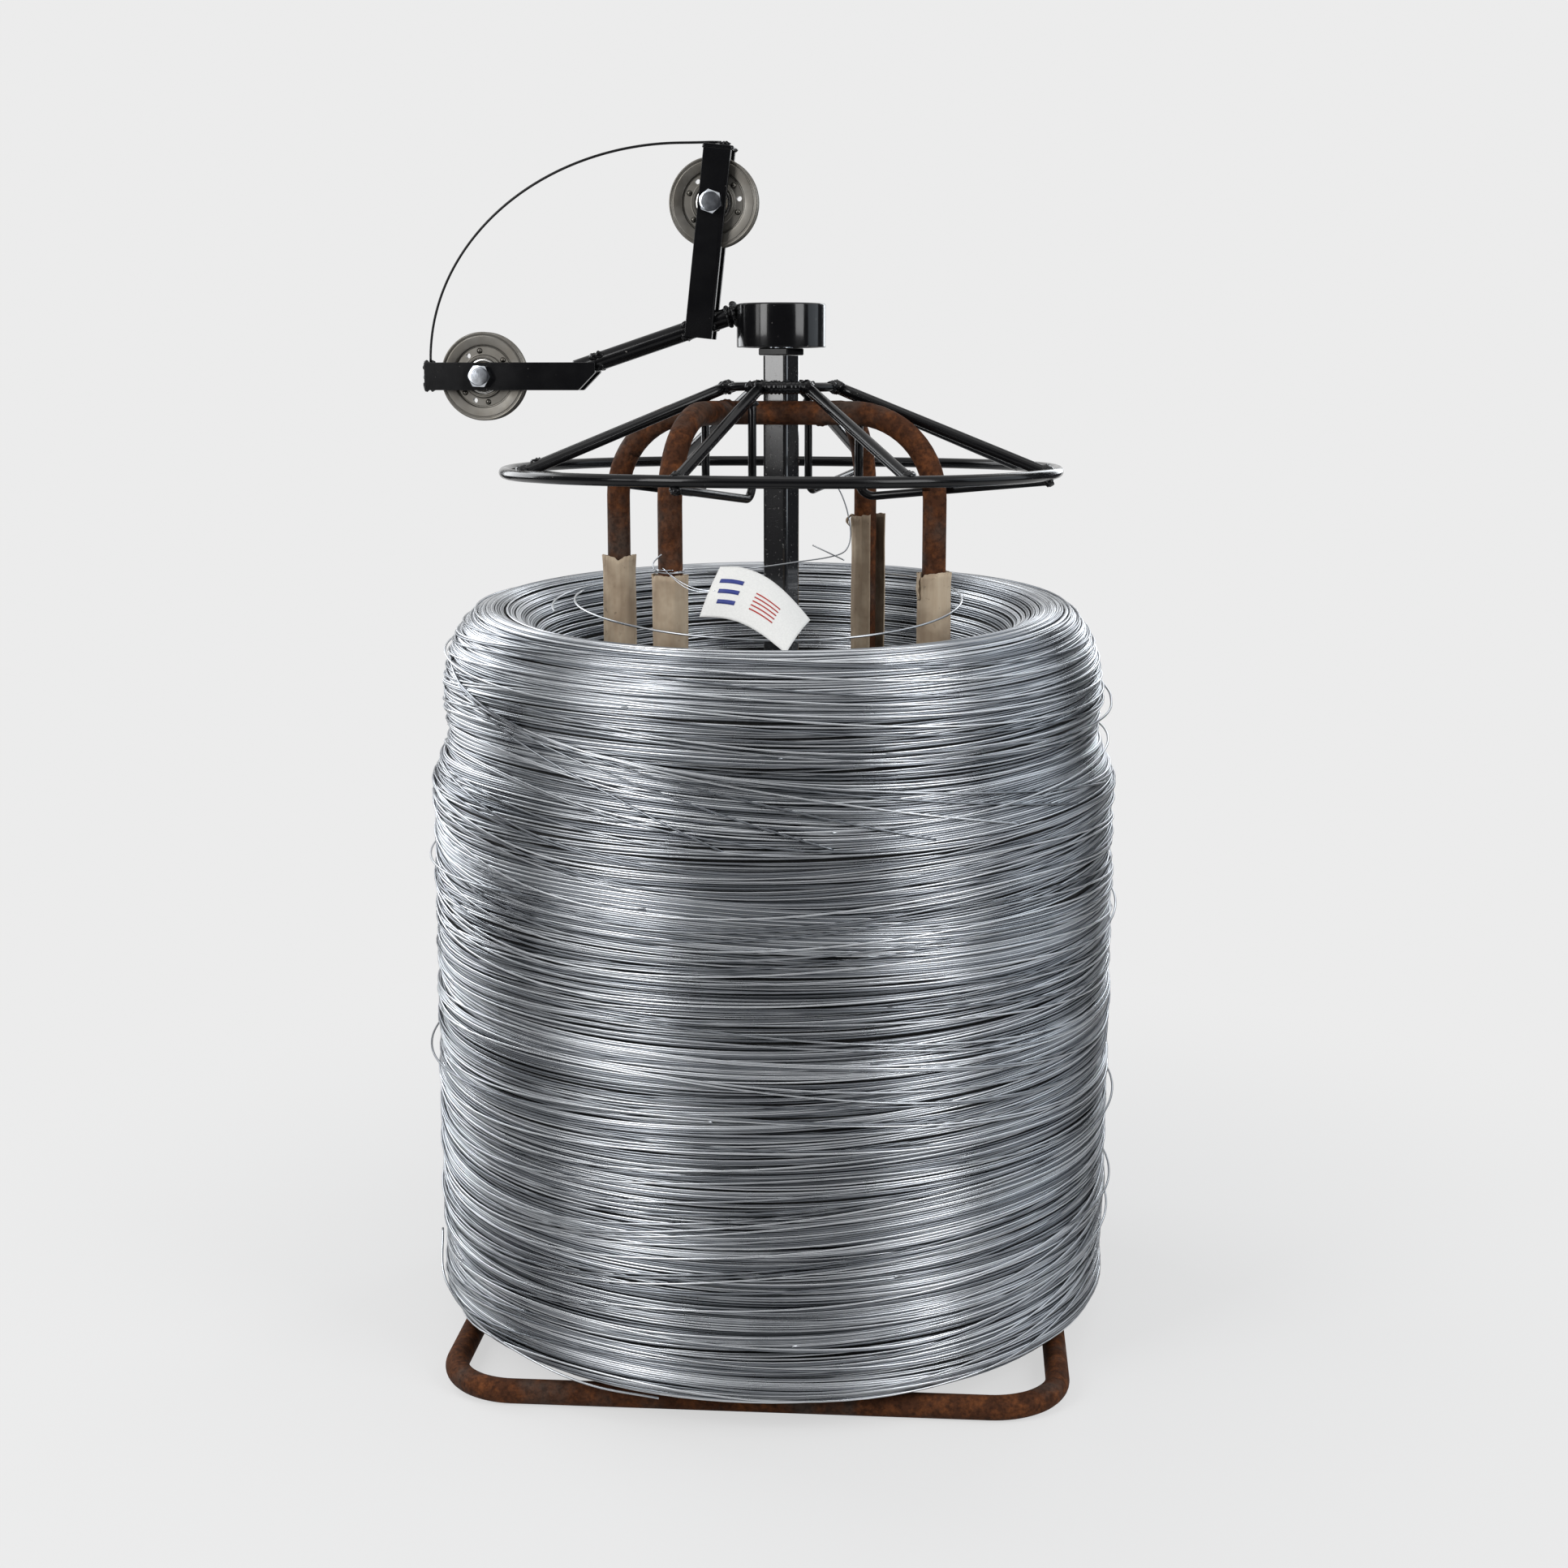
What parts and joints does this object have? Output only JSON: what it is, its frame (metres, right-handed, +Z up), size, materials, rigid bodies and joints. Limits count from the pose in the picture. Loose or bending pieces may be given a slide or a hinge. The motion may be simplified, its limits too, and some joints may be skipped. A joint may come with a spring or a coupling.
{
  "type": "fence wire spinner",
  "caption": "Wire spinner on a square mast with cone guard and turning pulley arm, standing in the tube carrier of a coil of fence wire.",
  "frame": {"origin": "on the floor at the axis of the coil and its carrier", "axes": "+Z up along the coil and mast, -Y towards the front, from which the arm lies to the left"},
  "size_m": [0.8062, 0.7988, 1.3519],
  "materials": {
    "rusty_tube": "bare tube with brown and orange rust",
    "kraft_card": "kraft card, torn at its ends",
    "galvanised_wire": "bright galvanised",
    "white_card": "matt card",
    "black_paint": "gloss black paint",
    "satin_steel": "satin zinc plate",
    "zinc_bolt": "bright zinc plate",
    "bearing_steel": "ground steel with dark seals"
  },
  "bodies": {
    "stand": {"base_ring": "rusty_tube", "hoop_through": "rusty_tube", "hoop_half_front": "rusty_tube", "hoop_half_rear": "rusty_tube", "leg_sleeve_front_left": "kraft_card", "leg_sleeve_front_right": "kraft_card", "leg_sleeve_rear_left": "kraft_card", "leg_sleeve_rear_right": "kraft_card", "wire_pack": "galvanised_wire", "wire_winding": "galvanised_wire", "wire_tag": "white_card", "mast": "black_paint", "mast_collar": "black_paint", "top_ring": "black_paint", "guard_ring": "black_paint", "rib_1": "black_paint", "rib_2": "black_paint", "rib_3": "black_paint", "rib_4": "black_paint", "rib_5": "black_paint", "rib_6": "black_paint", "rib_7": "black_paint", "rib_8": "black_paint", "brace_1": "black_paint", "brace_2": "black_paint", "brace_3": "black_paint", "brace_4": "black_paint", "spoke_1": "black_paint", "spoke_2": "black_paint", "spoke_3": "black_paint", "spoke_4": "black_paint", "spindle": "zinc_bolt", "spindle_washer": "zinc_bolt", "spindle_nut": "zinc_bolt"},
    "flyer": {"hub_shell": "black_paint", "bearing_housing": "black_paint", "hub_bearing_lower": "bearing_steel", "hub_bearing_upper": "bearing_steel", "arm_tube": "black_paint", "lower_fork_front": "black_paint", "lower_fork_rear": "black_paint", "lower_fork_end": "black_paint", "upright_front": "black_paint", "upright_rear": "black_paint", "upright_cap": "black_paint", "bow_wire": "black_paint", "outer_pulley_bolt": "zinc_bolt", "outer_pulley_nut": "zinc_bolt", "outer_pulley_spacer_front": "zinc_bolt", "outer_pulley_spacer_rear": "zinc_bolt", "upper_pulley_bolt": "zinc_bolt", "upper_pulley_nut": "zinc_bolt", "upper_pulley_spacer_front": "zinc_bolt", "upper_pulley_spacer_rear": "zinc_bolt"},
    "outer_pulley": {"outer_pulley": "satin_steel", "outer_pulley_bearing": "bearing_steel"},
    "upper_pulley": {"upper_pulley": "satin_steel", "upper_pulley_bearing": "bearing_steel"}
  },
  "joints": [
    {"name": "hub_spin", "type": "hinge", "parent": "stand", "child": "flyer", "pos_m": [0.00887, 0.03095, 1.145], "axis": [0, 0, 1], "continuous": true},
    {"name": "outer_pulley_spin", "type": "hinge", "parent": "flyer", "child": "outer_pulley", "pos_m": [-0.33673, 0.07952, 1.09079], "axis": [0.1392, 0.9903, 0], "continuous": true},
    {"name": "upper_pulley_spin", "type": "hinge", "parent": "flyer", "child": "upper_pulley", "pos_m": [-0.06705, 0.04162, 1.28397], "axis": [0.1392, 0.9903, 0], "continuous": true}
  ]
}
